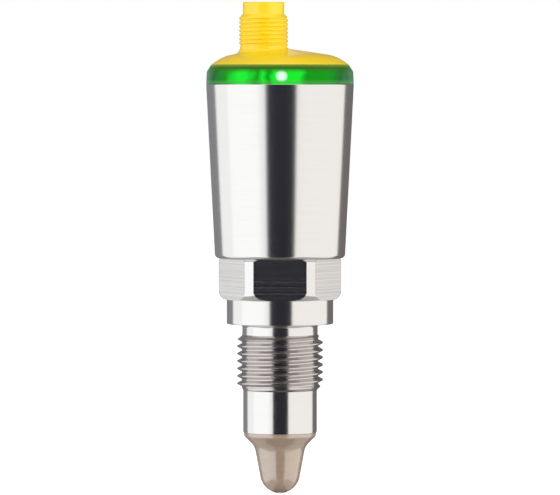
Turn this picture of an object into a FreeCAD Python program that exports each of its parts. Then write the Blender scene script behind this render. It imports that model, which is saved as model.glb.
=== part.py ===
"""Capacitive level switch: a rod-shaped sensor that screws into a vessel wall.

Millimetres, +Z up, sensing tip down. The origin is on the axis, in the plane
of the collar's sealing face, which rests on the vessel's boss.
"""

import FreeCAD, Part
import math
import os
from FreeCAD import Vector

AXIS = Vector(0, 0, 1)

# Process thread and shaft, downward from the sealing face
thread_r = 20.955 / 2
neck_r = 9.2
neck_length = 2.6
neck_flare = 0.7
thread_length = 13.6
thread_pitch = 1.814
thread_first_groove = 1.515
thread_land = 0.3
thread_flank_angle = math.radians(27.5)
shaft_r = 9.0
shaft_length = 10.3
shaft_edge_break = 0.15

# Collar and wrench hexagon, upward from the sealing face
collar_r = 13.0
collar_height = 5.9
collar_edge_break = 0.3
hex_across_flats = 27.0
hex_turned_r = 14.95
hex_height = 10.1
hex_corner_round = 2.1
hex_top_break = 0.4

# Inside of the process fitting
tip_bore_r = 7.05
tip_bore_depth = 12.5
stem_bore_r = 5.05
chamber_r = 10.5
chamber_floor_height = 4.0
spigot_step = 0.3
spigot_height = 5.5

# Housing shell, a cone that widens towards the light ring
shell_bottom_r = 15.85
shell_top_r = 18.0
shell_height = 42.4
shell_wall = 1.4
shell_rim_wall = 1.25
shell_rim_depth = 4.5
shell_bottom_break = 1.0
shell_top_break = 0.15

# Light ring
ring_height = 4.8
ring_side_draft = 0.15
ring_shoulder_drop = 1.7
ring_shoulder_inset = 1.25
ring_shoulder_break = 0.6
ring_wall = 3.8
ring_spigot_depth = 3.9

# End cap: low dome with an off-centre plug sleeve
cap_edge_inset = 0.05
cap_shoulder_inset = 2.7
cap_shoulder_height = 2.05
cap_crown_height = 4.2
cap_shoulder_round = 5.0
cap_wall = 2.1
cap_skirt_wall = 2.2
cap_bead_height = 0.35
sleeve_offset = 4.0
sleeve_base_r = 5.75
sleeve_base_height = 4.6
sleeve_foot_gap = 0.7
sleeve_foot_flare = 1.2
sleeve_foot_drop = 1.4
sleeve_thread_r = 5.97
sleeve_thread_length = 7.7
sleeve_nose_r = 5.05
sleeve_nose_length = 2.9
sleeve_nose_break = 0.3
socket_r = 4.3
socket_depth = 9.8
carrier_bore_r = 4.9
sleeve_boss_r = 6.4
sleeve_boss_depth = 1.2
key_width = 1.2
key_height = 0.7
key_drop = 2.0

# Plug contacts
contact_r = 0.5
contact_spacing = 3.5
contact_drop = 1.8
contact_tip_break = 0.3
contact_tail = 0.6
insert_flange_r = 5.9
insert_flange_height = 1.8
connector_board_thickness = 1.0

# Sensing tip
tip_shoulder_r = 8.77
tip_shoulder_height = 0.93
tip_shoulder_round = 0.8
tip_flare_drop = 3.15
tip_flare_round = 4.0
finger_root_r = 5.93
finger_root_drop = 4.9
finger_half_angle = math.radians(10.7)
tip_length = 14.9
tip_stem_length = 12.2
stem_rise = 6.0
tip_cavity_r = 3.2
tip_floor = 2.0
cavity_nose = 1.6

# Electrodes inside the tip
electrode_gap = 0.1
electrode_head_length = 8.4
electrode_rod_r = 0.8
insulator_flange = 1.0
guard_wall = 0.6
guard_rise = 1.6
insulator_rise = 3.0
electrode_rise = 4.4

# Retaining nut and its dished washer
washer_outer_r = 8.5
washer_thickness = 0.8
washer_dish = 0.4
washer_bore_gap = 0.2
nut_across_flats = 16.0
nut_height = 4.0
nut_chamfer_angle = math.radians(30)

# Seal rings and their grooves
seal_width = 1.5
seal_height = 1.1
groove_side_gap = 0.2
groove_cut_over = 1.0

# Board carrier and circuit boards
carrier_base_height = 2.0
carrier_base_width = 3.6
carrier_top_height = 2.0
carrier_top_width = 4.4
upright_wall = 1.6
upright_lap = 0.9
upright_cheek = 1.1
board_thickness = 1.6
led_board_thickness = 1.0
led_board_width = 6.5
led_count = 6
led_height = 0.8
led_width = 1.6
led_depth = 1.0
led_edge_gap = 0.25

# Parts on the main board
socket_block_width = 4.0
socket_block_height = 5.0
socket_block_wall = 0.9
can_width = 8.0
can_height = 11.0
can_depth = 2.2
can_wall = 0.2
controller_width = 7.0
controller_depth = 1.0
regulator_width = 6.5
regulator_height = 3.5
regulator_depth = 1.6
inductor_r = 2.6
inductor_waist_r = 1.7
inductor_depth = 3.0
inductor_flange = 0.7
capacitor_count = 4
capacitor_width = 3.2
capacitor_height = 1.6
capacitor_depth = 1.4
resistor_rows = 3
resistor_width = 1.6
resistor_height = 0.8
resistor_depth = 0.5
part_pitch = 3.0

# Strips of spring metal and flexible circuit
strip_thickness = 0.35
strip_width = 3.0
spring_half_length = 4.5
spring_foot_length = 1.8
clip_height = 1.2
flex_width = 3.4
flex_thickness = 0.2
flex_bend = 3.0
flex_lap = 3.6
flex_shift = 0.5

# Clearances
slide_fit = 0.05
thread_fit = 0.03
press_gap = 0.01
seal_gap = 0.02
free_gap = 0.3

# Heights and radii that follow from the values above
thread_top = -neck_length
thread_bottom = thread_top - thread_length
thread_depth = (thread_pitch / 2 - thread_land) / math.tan(thread_flank_angle)
thread_grooves = int((thread_length - thread_first_groove) / thread_pitch) + 1
shaft_bottom = thread_bottom - shaft_length
hex_top = collar_height + hex_height
spigot_r = hex_across_flats / 2 - spigot_step
spigot_top = hex_top + spigot_height
shell_top = hex_top + shell_height
ring_top = shell_top + ring_height
tip_bore_top = shaft_bottom + tip_bore_depth
stem_r = stem_bore_r - slide_fit
nut_bottom = chamber_floor_height + washer_thickness + washer_dish
stem_top = chamber_floor_height + stem_rise
shell_ledge = spigot_top + free_gap
shell_taper = (shell_top_r - shell_bottom_r) / shell_height
rim_r = shell_top_r - shell_rim_wall
rim_floor = shell_top - shell_rim_depth
ring_bore_r = shell_top_r - ring_wall
ring_bottom = shell_top - ring_spigot_depth
skirt_r = ring_bore_r - slide_fit
skirt_inner_r = skirt_r - cap_skirt_wall
connector_board_r = skirt_inner_r - free_gap
sleeve_thread_bottom = ring_top + sleeve_base_height
sleeve_thread_top = sleeve_thread_bottom + sleeve_thread_length
sleeve_top = sleeve_thread_top + sleeve_nose_length
socket_floor = sleeve_top - socket_depth
crown_inner = ring_top + cap_crown_height - cap_wall
boss_bottom = crown_inner - sleeve_boss_depth - cap_wall
insert_bottom = boss_bottom - insert_flange_height
connector_board_bottom = insert_bottom - connector_board_thickness
led_board_bottom = ring_bottom - free_gap - led_height - led_board_thickness
led_board_r = min(rim_r, shell_top_r - shell_wall - shell_taper * shell_rim_depth) - free_gap
carrier_top_bottom = led_board_bottom - carrier_top_height
board_bottom = shell_ledge + carrier_base_height
tip_bottom = shaft_bottom - tip_length
cavity_bottom = tip_bottom + tip_floor
electrode_r = tip_cavity_r - electrode_gap
electrode_bottom = cavity_bottom + electrode_gap
head_top = electrode_bottom + electrode_head_length
guard_bottom = head_top + insulator_flange
guard_top = stem_top + guard_rise
insulator_top = stem_top + insulator_rise
guard_inner_r = electrode_r - guard_wall
board_back = electrode_r + seal_gap
board_front = board_back - board_thickness


def shell_inner_r(height):
    """Radius of the shell's tapered inner wall at a height."""
    return shell_bottom_r + shell_taper * (height - hex_top) - shell_wall


carrier_base_r = shell_inner_r(shell_ledge) - free_gap
carrier_top_r = shell_inner_r(carrier_top_bottom) - free_gap
upright_back = board_back + upright_cheek
upright_front = board_front - upright_cheek
upright_outer_x = math.sqrt(carrier_base_r ** 2 - upright_back ** 2)
board_half_width = upright_outer_x - upright_wall
electrode_top = board_bottom + electrode_rise

# Middles of the seals and places of the parts on the main board
tip_seal_z = shaft_bottom + tip_stem_length / 2
shell_seal_z = hex_top + spigot_height / 2
ring_seal_z = (ring_bottom + shell_top) / 2
cap_seal_z = (shell_top + ring_top) / 2
insert_seal_z = (boss_bottom + socket_floor) / 2
board_middle = (board_bottom + led_board_bottom) / 2
column_x = board_half_width / 2
controller_z = board_middle + controller_width / 2
regulator_z = board_middle + inductor_r + regulator_height


def rounded_wire(corners):
    """Closed wire in the XZ plane.

    A corner is (x, z), (x, z, radius) where it is round, or (x, z, -radius)
    where it is cut straight between the round's ends.
    """
    bends = []
    for index, corner in enumerate(corners):
        here = Vector(corner[0], 0, corner[1])
        before = corners[index - 1]
        after = corners[(index + 1) % len(corners)]
        radius = corner[2] if len(corner) > 2 else 0.0
        if radius == 0.0:
            bends.append((here, None, here))
            continue
        back = (Vector(before[0], 0, before[1]) - here).normalize()
        ahead = (Vector(after[0], 0, after[1]) - here).normalize()
        half_angle = back.getAngle(ahead) / 2
        reach = abs(radius) / math.tan(half_angle)
        middle = None
        if radius > 0:
            inward = (back + ahead).normalize()
            middle = here + inward * (radius / math.sin(half_angle) - radius)
        bends.append((here + back * reach, middle, here + ahead * reach))
    edges = []
    for index, (start, middle, end) in enumerate(bends):
        previous_end = bends[index - 1][2]
        if previous_end.distanceToPoint(start) > 1e-6:
            edges.append(Part.LineSegment(previous_end, start).toShape())
        if middle is not None:
            edges.append(Part.Arc(start, middle, end).toShape())
        elif start.distanceToPoint(end) > 1e-6:
            edges.append(Part.LineSegment(start, end).toShape())
    return Part.Wire(edges)


def turned(corners, axis_x=0.0):
    """Solid of revolution about the vertical line through x = axis_x.

    The corners' x is the radius from that line.
    """
    solid = Part.Face(rounded_wire(corners)).revolve(Vector(0, 0, 0), AXIS, 360)
    solid.translate(Vector(axis_x, 0, 0))
    return solid


def pushed(corners, low_y, high_y):
    """Prism of an XZ outline between two Y planes."""
    prism = Part.Face(rounded_wire(corners)).extrude(Vector(0, high_y - low_y, 0))
    prism.translate(Vector(0, low_y, 0))
    return prism


def block(low_x, high_x, low_y, high_y, low_z, high_z):
    """Box between two corners."""
    return Part.makeBox(high_x - low_x, high_y - low_y, high_z - low_z, Vector(low_x, low_y, low_z))


def rod(radius, low_z, high_z, x=0.0, y=0.0):
    """Upright cylinder."""
    return Part.makeCylinder(radius, high_z - low_z, Vector(x, y, low_z), AXIS)


def hexagon_corner_r(across_flats):
    """Radius of the circle through a hexagon's corners."""
    return across_flats / 2 / math.cos(math.radians(30))


def hexagon(across_flats, low_z, high_z):
    """Six-sided prism with one flat facing -Y."""
    corner_r = hexagon_corner_r(across_flats)
    points = []
    for turn in range(7):
        angle = math.radians(60 * turn)
        points.append(Vector(corner_r * math.cos(angle), corner_r * math.sin(angle), low_z))
    return Part.Face(Part.makePolygon(points)).extrude(Vector(0, 0, high_z - low_z))


def outer_groove(surface_r, middle_z, axis_x=0.0):
    """Ring that cuts a seal groove into an outside wall."""
    half = seal_width / 2 + groove_side_gap
    floor_r = surface_r - seal_height
    wide_r = surface_r + groove_cut_over
    return turned([(floor_r, middle_z - half), (wide_r, middle_z - half),
                   (wide_r, middle_z + half), (floor_r, middle_z + half)], axis_x)


def thread_groove(middle_z):
    """Ring that cuts one groove of the process thread, with sloped flanks and a narrow floor."""
    floor_r = thread_r - thread_depth
    wide_r = thread_r + groove_cut_over
    floor_half = thread_land / 2
    wide_half = floor_half + (wide_r - floor_r) * math.tan(thread_flank_angle)
    return turned([(floor_r, middle_z - floor_half), (wide_r, middle_z - wide_half),
                   (wide_r, middle_z + wide_half), (floor_r, middle_z + floor_half)])


def make_process_fitting():
    """One turned piece: shaft, process thread, neck, collar, hexagon and spigot.

    The thread's ridges are rings, each at the height of the real thread's turn at the front.
    """
    thread_rise = thread_r - shaft_r
    thread_fall = thread_r - neck_r
    body = turned([
        (tip_bore_r, shaft_bottom),
        (shaft_r, shaft_bottom, -shaft_edge_break),
        (shaft_r, thread_bottom),
        (thread_r, thread_bottom + thread_rise),
        (thread_r, thread_top - thread_fall),
        (neck_r, thread_top),
        (neck_r, 0, -neck_flare),
        (collar_r, 0, -collar_edge_break),
        (collar_r, collar_height),
        (spigot_r, collar_height),
        (spigot_r, spigot_top),
        (chamber_r, spigot_top),
        (chamber_r, chamber_floor_height),
        (stem_bore_r, chamber_floor_height),
        (stem_bore_r, tip_bore_top),
        (tip_bore_r, tip_bore_top),
    ])
    core_r = (chamber_r + spigot_r) / 2
    blank = turned([
        (core_r, collar_height),
        (hex_turned_r, collar_height, hex_corner_round),
        (hex_turned_r, hex_top, -hex_top_break),
        (core_r, hex_top),
    ])
    wrench_hexagon = blank.common(hexagon(hex_across_flats, collar_height, hex_top))
    body = body.fuse(wrench_hexagon).cut(outer_groove(spigot_r, shell_seal_z))
    for turn in range(thread_grooves):
        body = body.cut(thread_groove(thread_top - thread_first_groove - thread_pitch * turn))
    return body.removeSplitter()


def make_housing_shell():
    """Tapered tube with a thick foot that sits on the hexagon, bored for the light ring."""
    return turned([
        (spigot_r + slide_fit, hex_top),
        (shell_bottom_r, hex_top, -shell_bottom_break),
        (shell_top_r, shell_top, -shell_top_break),
        (rim_r, shell_top),
        (rim_r, rim_floor),
        (shell_inner_r(rim_floor), rim_floor),
        (shell_inner_r(shell_ledge), shell_ledge),
        (spigot_r + slide_fit, shell_ledge),
    ])


def make_light_ring():
    """Clear ring with a sloped shoulder and a spigot that enters the shell."""
    side_r = shell_top_r - ring_side_draft
    spigot_outer_r = rim_r - slide_fit
    ring = turned([
        (ring_bore_r, ring_bottom),
        (spigot_outer_r, ring_bottom),
        (spigot_outer_r, shell_top),
        (shell_top_r, shell_top, -shell_top_break),
        (side_r, ring_top - ring_shoulder_drop, -ring_shoulder_break),
        (shell_top_r - ring_shoulder_inset, ring_top),
        (ring_bore_r, ring_top),
    ])
    return ring.cut(outer_groove(spigot_outer_r, ring_seal_z))


def make_end_cap():
    """Moulded cap: low dome, skirt with a snap bead, and the off-centre plug sleeve."""
    edge_r = shell_top_r - ring_shoulder_inset - cap_edge_inset
    shoulder_r = edge_r - cap_shoulder_inset
    shoulder_z = ring_top + cap_shoulder_height
    crown_z = ring_top + cap_crown_height
    bead_r = skirt_r + cap_bead_height
    bead_top = ring_bottom - slide_fit
    bead_bottom = bead_top - cap_bead_height
    dome = turned([
        (0, crown_z),
        (shoulder_r, shoulder_z, cap_shoulder_round),
        (edge_r, ring_top),
        (skirt_r, ring_top),
        (skirt_r, bead_top),
        (bead_r, bead_bottom),
        (skirt_inner_r, bead_bottom),
        (skirt_inner_r, shoulder_z - cap_wall),
        (0, crown_inner),
    ])
    dome = dome.cut(outer_groove(skirt_r, cap_seal_z))
    lead_in = sleeve_thread_r - sleeve_nose_r
    foot_top = sleeve_thread_bottom - sleeve_foot_gap
    sleeve = turned([
        (socket_r, boss_bottom),
        (sleeve_boss_r, boss_bottom),
        (sleeve_boss_r, crown_inner),
        (sleeve_base_r, crown_inner),
        (sleeve_base_r + sleeve_foot_flare, foot_top - sleeve_foot_drop),
        (sleeve_base_r, foot_top),
        (sleeve_base_r, sleeve_thread_bottom),
        (sleeve_thread_r, sleeve_thread_bottom + sleeve_thread_r - sleeve_base_r),
        (sleeve_thread_r, sleeve_thread_top - lead_in),
        (sleeve_nose_r, sleeve_thread_top),
        (sleeve_nose_r, sleeve_top, -sleeve_nose_break),
        (socket_r, sleeve_top),
    ], -sleeve_offset)
    cap = dome.cut(rod(socket_r, boss_bottom, sleeve_top, -sleeve_offset)).fuse(sleeve)
    cap = cap.cut(rod(carrier_bore_r, boss_bottom, socket_floor, -sleeve_offset)).removeSplitter()
    key = block(-key_width / 2, key_width / 2, socket_r - key_height, socket_r + key_height,
                socket_floor, sleeve_top - key_drop)
    key.translate(Vector(-sleeve_offset, 0, 0))
    return cap.fuse(key).removeSplitter()


def contact_places():
    """Centres of the four contacts, on a square about the sleeve's axis."""
    half = contact_spacing / 2
    return [(-sleeve_offset + side * half, front * half) for side in (-1, 1) for front in (-1, 1)]


def make_contact_insert():
    """Moulded insert that closes the sleeve and carries the four contacts."""
    body_r = carrier_bore_r - slide_fit
    insert = turned([
        (0, insert_bottom),
        (insert_flange_r, insert_bottom),
        (insert_flange_r, boss_bottom),
        (body_r, boss_bottom),
        (body_r, socket_floor),
        (0, socket_floor),
    ], -sleeve_offset)
    insert = insert.cut(outer_groove(body_r, insert_seal_z, -sleeve_offset))
    for x, y in contact_places():
        insert = insert.cut(rod(contact_r + press_gap, insert_bottom, socket_floor, x, y))
    return insert


def make_plug_contacts():
    """Four round contacts with rounded tips."""
    low = connector_board_bottom - contact_tail
    high = sleeve_top - contact_drop
    pins = []
    for x, y in contact_places():
        pin = turned([(0, low), (contact_r, low), (contact_r, high, -contact_tip_break), (0, high)])
        pin.translate(Vector(x, y, 0))
        pins.append(pin)
    return Part.makeCompound(pins)


def make_connector_board():
    """Round board across the cap's skirt that the contacts pass through."""
    board = rod(connector_board_r, connector_board_bottom, insert_bottom)
    for x, y in contact_places():
        board = board.cut(rod(contact_r + press_gap, connector_board_bottom, insert_bottom, x, y))
    return board


def make_sensor_tip():
    """Hollow plastic probe: shoulder, flare, tapered finger with a ball end, and stem."""
    slope = math.tan(finger_half_angle)
    root_z = shaft_bottom - finger_root_drop
    end_from_root = finger_root_r + slope * (tip_bottom - root_z)
    ball_r = math.cos(finger_half_angle) * end_from_root / (1 - math.sin(finger_half_angle))
    ball_z = tip_bottom + ball_r
    tangent_r = ball_r * math.cos(finger_half_angle)
    tangent_z = ball_z - ball_r * math.sin(finger_half_angle)
    flare_top = shaft_bottom - tip_shoulder_height
    flare_z = shaft_bottom - tip_flare_drop
    flare_end_r = tip_shoulder_r - (flare_top - flare_z)
    flare_foot_r = finger_root_r + slope * (flare_z - root_z)
    corner_drop = (flare_end_r - flare_foot_r) / (1 + slope)
    corner_z = flare_z - corner_drop
    corner_r = finger_root_r + slope * (corner_z - root_z)
    bore_r = tip_bore_r - slide_fit
    step_z = shaft_bottom + tip_stem_length
    outline = turned([
        (0, tip_bottom + ball_r),
        (tangent_r, tangent_z),
        (corner_r, corner_z, tip_flare_round),
        (tip_shoulder_r, flare_top, tip_shoulder_round),
        (tip_shoulder_r, shaft_bottom),
        (bore_r, shaft_bottom),
        (bore_r, step_z),
        (stem_r, step_z),
        (stem_r, stem_top),
        (0, stem_top),
    ])
    ball = Part.makeSphere(ball_r, Vector(0, 0, ball_z))
    cavity = turned([
        (0, cavity_bottom),
        (tip_cavity_r - cavity_nose, cavity_bottom),
        (tip_cavity_r, cavity_bottom + cavity_nose),
        (tip_cavity_r, stem_top),
        (0, stem_top),
    ])
    tip = outline.fuse(ball).removeSplitter().cut(cavity)
    return tip.cut(outer_groove(bore_r, tip_seal_z)).removeSplitter()


def make_measuring_electrode():
    """Electrode that fills the end of the cavity, with its rod up to the board."""
    return turned([
        (0, electrode_bottom),
        (electrode_r - cavity_nose, electrode_bottom),
        (electrode_r, electrode_bottom + cavity_nose),
        (electrode_r, head_top),
        (electrode_rod_r, head_top),
        (electrode_rod_r, electrode_top),
        (0, electrode_top),
    ])


def make_insulating_sleeve():
    """Plastic tube on the electrode's rod, with a flange that spaces the guard off."""
    bore_r = electrode_rod_r + slide_fit
    return turned([
        (bore_r, head_top),
        (electrode_r, head_top),
        (electrode_r, guard_bottom),
        (guard_inner_r - slide_fit, guard_bottom),
        (guard_inner_r - slide_fit, insulator_top),
        (bore_r, insulator_top),
    ])


def make_guard_tube():
    """Tube that screens the electrode's rod from the metal fitting."""
    return turned([
        (guard_inner_r, guard_bottom),
        (electrode_r, guard_bottom),
        (electrode_r, guard_top),
        (guard_inner_r, guard_top),
    ])


def make_spring_washer():
    """Dished washer that keeps the tip pulled up as the plastic creeps."""
    floor = chamber_floor_height
    inner_r = stem_r + washer_bore_gap
    return turned([
        (washer_outer_r, floor),
        (washer_outer_r, floor + washer_thickness),
        (inner_r, nut_bottom),
        (inner_r, nut_bottom - washer_thickness),
    ])


def make_tip_nut():
    """Hexagon nut on the stem's thread."""
    corner_r = hexagon_corner_r(nut_across_flats)
    flat_r = nut_across_flats / 2
    chamfer_drop = (corner_r - flat_r) * math.tan(nut_chamfer_angle)
    nut_top = nut_bottom + nut_height
    blank = turned([
        (stem_r + thread_fit, nut_bottom),
        (corner_r, nut_bottom),
        (corner_r, nut_top - chamfer_drop),
        (flat_r, nut_top),
        (stem_r + thread_fit, nut_top),
    ])
    return blank.common(hexagon(nut_across_flats, nut_bottom, nut_top))


def make_board_carrier():
    """Moulded cage: foot ring on the shell's ledge, two slotted uprights, ring for the lamps."""
    foot = turned([
        (carrier_base_r - carrier_base_width, shell_ledge),
        (carrier_base_r, shell_ledge),
        (carrier_base_r, board_bottom),
        (carrier_base_r - carrier_base_width, board_bottom),
    ])
    crown = turned([
        (carrier_top_r - carrier_top_width, carrier_top_bottom),
        (carrier_top_r, carrier_top_bottom),
        (carrier_top_r, led_board_bottom),
        (carrier_top_r - carrier_top_width, led_board_bottom),
    ])
    carrier = foot.fuse(crown)
    for side in (-1, 1):
        inner = side * (board_half_width - upright_lap)
        outer = side * upright_outer_x
        carrier = carrier.fuse(block(min(inner, outer), max(inner, outer), upright_front, upright_back,
                                     shell_ledge, led_board_bottom))
    slot_half = board_half_width + slide_fit
    slot = block(-slot_half, slot_half, board_front - slide_fit, board_back + slide_fit,
                 board_bottom, led_board_bottom)
    return carrier.cut(slot).removeSplitter()


def make_main_board():
    """Upright circuit board in the carrier's slots."""
    return block(-board_half_width, board_half_width, board_front, board_back,
                 board_bottom, led_board_bottom)


def make_led_board():
    """Ring-shaped board under the light ring."""
    inner_r = led_board_r - led_board_width
    top = led_board_bottom + led_board_thickness
    return rod(led_board_r, led_board_bottom, top).cut(rod(inner_r, led_board_bottom, top))


def make_leds():
    """Lamps spaced round the ring-shaped board, one of them at the front."""
    low = led_board_bottom + led_board_thickness
    outer = led_board_r - led_edge_gap
    lamps = []
    for index in range(led_count):
        lamp = block(-led_width / 2, led_width / 2, -outer, -outer + led_depth, low, low + led_height)
        lamp.rotate(Vector(0, 0, 0), AXIS, 360.0 * index / led_count)
        lamps.append(lamp)
    return Part.makeCompound(lamps)


def on_front(x, z, width, height, depth):
    """Block soldered to the board's front face, centred at x and z."""
    return block(x - width / 2, x + width / 2, board_front - depth, board_front,
                 z - height / 2, z + height / 2)


def on_back(x, z, width, height, depth):
    """Block soldered to the board's back face, centred at x and z."""
    return block(x - width / 2, x + width / 2, board_back, board_back + depth,
                 z - height / 2, z + height / 2)


def make_electrode_socket():
    """Block on the board that grips the electrode's rod."""
    front = -(electrode_rod_r + socket_block_wall)
    low = board_bottom + free_gap
    body = block(-socket_block_width / 2, socket_block_width / 2, front, board_front,
                 low, low + socket_block_height)
    return body.cut(rod(electrode_rod_r + press_gap, low, low + socket_block_height))


def make_controller_chip():
    """Square chip on the board's front face."""
    return on_front(column_x, controller_z, controller_width, controller_width, controller_depth)


def make_regulator_chip():
    """Power chip on the board's back face, above the inductor."""
    return on_back(column_x, regulator_z, regulator_width, regulator_height, regulator_depth)


def make_screening_can():
    """Folded lid over the measuring circuit, open towards the board."""
    outside = on_front(-column_x, board_middle, can_width, can_height, can_depth)
    inside = on_front(-column_x, board_middle, can_width - 2 * can_wall, can_height - 2 * can_wall,
                      can_depth - can_wall)
    return outside.cut(inside)


def make_inductor():
    """Drum choke on the board's back face."""
    flange_top = board_back + inductor_depth
    drum = turned([
        (0, board_back),
        (inductor_r, board_back),
        (inductor_r, board_back + inductor_flange),
        (inductor_waist_r, board_back + inductor_flange),
        (inductor_waist_r, flange_top - inductor_flange),
        (inductor_r, flange_top - inductor_flange),
        (inductor_r, flange_top),
        (0, flange_top),
    ])
    drum.rotate(Vector(0, 0, 0), Vector(1, 0, 0), -90)
    drum.translate(Vector(column_x, 0, board_middle))
    return drum


def make_capacitors():
    """Column of capacitors on the board's back face, centred on its height."""
    low_z = board_middle - part_pitch * (capacitor_count - 1) / 2
    bodies = []
    for row in range(capacitor_count):
        bodies.append(on_back(-column_x, low_z + part_pitch * row,
                              capacitor_width, capacitor_height, capacitor_depth))
    return Part.makeCompound(bodies)


def make_resistors():
    """Two columns of small resistors under the controller."""
    top_z = controller_z - controller_width / 2 - resistor_height
    bodies = []
    for x in (column_x - part_pitch / 2, column_x + part_pitch / 2):
        for row in range(resistor_rows):
            bodies.append(on_front(x, top_z - 2 * resistor_height * row,
                                   resistor_width, resistor_height, resistor_depth))
    return Part.makeCompound(bodies)


def make_guard_clip():
    """Strip that joins the guard tube to the board's back face."""
    ring_low = guard_top - clip_height
    inner_r = board_back
    ring = rod(inner_r + strip_thickness, ring_low, guard_top)
    ring = ring.cut(rod(inner_r, ring_low, guard_top))
    tail = block(-strip_width / 2, strip_width / 2, board_back, board_back + strip_thickness,
                 ring_low, board_bottom + strip_width)
    return ring.fuse(tail).removeSplitter()


def make_ground_spring():
    """Bowed strip between the carrier's upright and the shell's inner wall."""
    low_y = upright_front
    high_y = low_y + strip_width
    reach_y = max(abs(low_y), abs(high_y))
    peak_x = math.sqrt((shell_inner_r(board_middle) - free_gap / 2) ** 2 - reach_y ** 2)
    inner_x = upright_outer_x
    outer_x = inner_x + strip_thickness
    bow_low = board_middle - spring_half_length
    bow_high = board_middle + spring_half_length
    return pushed([
        (inner_x, bow_low - spring_foot_length),
        (outer_x, bow_low - spring_foot_length),
        (outer_x, bow_low, strip_thickness),
        (peak_x, board_middle, strip_width),
        (outer_x, bow_high),
        (inner_x, bow_high),
        (peak_x - strip_thickness, board_middle, strip_width - strip_thickness),
        (inner_x, bow_low),
    ], low_y, high_y)


def make_flex_link():
    """Flexible circuit from the main board up to the connector board."""
    outer_y = board_front
    inner_y = board_front - flex_thickness
    top = connector_board_bottom
    foot = led_board_bottom - flex_lap
    end_y = outer_y - flex_bend - flex_lap / 2
    strip = pushed([
        (inner_y, foot),
        (outer_y, foot),
        (outer_y, top, flex_bend),
        (end_y, top),
        (end_y, top - flex_thickness),
        (inner_y, top - flex_thickness, flex_bend - flex_thickness),
    ], -flex_width / 2, flex_width / 2)
    strip.rotate(Vector(0, 0, 0), AXIS, 90)
    strip.translate(Vector(flex_shift, 0, 0))
    return strip


def make_seal(surface_r, bore_r, middle_z, axis_x=0.0):
    """Square-section seal ring that fills its groove out to the bore around it."""
    low_r = surface_r - seal_height + seal_gap
    high_r = bore_r - seal_gap
    low_z = middle_z - seal_width / 2
    high_z = middle_z + seal_width / 2
    return turned([(low_r, low_z), (high_r, low_z), (high_r, high_z), (low_r, high_z)], axis_x)


shapes = {
    "process_fitting": make_process_fitting(),
    "housing_shell": make_housing_shell(),
    "light_ring": make_light_ring(),
    "end_cap": make_end_cap(),
    "sensor_tip": make_sensor_tip(),
    "contact_insert": make_contact_insert(),
    "plug_contacts": make_plug_contacts(),
    "connector_board": make_connector_board(),
    "flex_link": make_flex_link(),
    "led_board": make_led_board(),
    "leds": make_leds(),
    "board_carrier": make_board_carrier(),
    "main_board": make_main_board(),
    "screening_can": make_screening_can(),
    "controller_chip": make_controller_chip(),
    "regulator_chip": make_regulator_chip(),
    "inductor": make_inductor(),
    "capacitors": make_capacitors(),
    "resistors": make_resistors(),
    "electrode_socket": make_electrode_socket(),
    "guard_clip": make_guard_clip(),
    "ground_spring": make_ground_spring(),
    "measuring_electrode": make_measuring_electrode(),
    "guard_tube": make_guard_tube(),
    "insulating_sleeve": make_insulating_sleeve(),
    "spring_washer": make_spring_washer(),
    "tip_nut": make_tip_nut(),
    "tip_seal": make_seal(tip_bore_r - slide_fit, tip_bore_r, tip_seal_z),
    "shell_seal": make_seal(spigot_r, spigot_r + slide_fit, shell_seal_z),
    "ring_seal": make_seal(rim_r - slide_fit, rim_r, ring_seal_z),
    "cap_seal": make_seal(skirt_r, ring_bore_r, cap_seal_z),
    "insert_seal": make_seal(carrier_bore_r - slide_fit, carrier_bore_r, insert_seal_z, -sleeve_offset),
}

os.makedirs("parts", exist_ok=True)
for name, shape in shapes.items():
    if not shape.isValid():
        raise ValueError(name + " is not a valid shape")
    shape.exportStep("parts/" + name + ".step")
    print(name, len(shape.Solids), round(shape.Volume, 2))
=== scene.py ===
"""Capacitive level switch: finished surfaces and studio, laid out as an add-on and run as a script."""

import math

import bmesh
import bpy
from bpy.props import FloatProperty, FloatVectorProperty, IntProperty, PointerProperty
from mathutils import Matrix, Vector


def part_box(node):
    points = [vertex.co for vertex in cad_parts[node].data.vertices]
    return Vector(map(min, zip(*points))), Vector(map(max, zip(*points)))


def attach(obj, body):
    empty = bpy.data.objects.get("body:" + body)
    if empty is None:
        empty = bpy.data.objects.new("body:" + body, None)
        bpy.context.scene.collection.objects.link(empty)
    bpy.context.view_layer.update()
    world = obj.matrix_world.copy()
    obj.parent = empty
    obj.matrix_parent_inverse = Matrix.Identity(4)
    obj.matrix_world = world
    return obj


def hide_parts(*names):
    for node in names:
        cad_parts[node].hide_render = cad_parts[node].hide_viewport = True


bl_info = {
    "name": "Capacitive Level Switch",
    "version": (1, 0, 0),
    "blender": (4, 5, 0),
    "location": "View3D > Sidebar > Level Switch",
    "description": "Builds the finished surfaces of a rod-shaped level switch round its solid model",
    "category": "Add Mesh",
}

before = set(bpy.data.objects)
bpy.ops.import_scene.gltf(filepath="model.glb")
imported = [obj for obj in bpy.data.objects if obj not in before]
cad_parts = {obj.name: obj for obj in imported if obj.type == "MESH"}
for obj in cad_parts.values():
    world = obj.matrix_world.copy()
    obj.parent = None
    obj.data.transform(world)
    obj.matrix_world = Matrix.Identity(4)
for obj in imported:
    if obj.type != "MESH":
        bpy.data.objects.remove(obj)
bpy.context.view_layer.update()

MM = 0.001
TURN = 2 * math.pi
WELD = 1e-7
WHITE = (1, 1, 1, 1)

# Most of a noise texture lies between these
NOISE_LOW = 0.3
NOISE_HIGH = 0.7

# Places in the fitting's list of steels, after the turned one
BRUSHED_FLATS = 1
CUT_THREAD = 2

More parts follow.
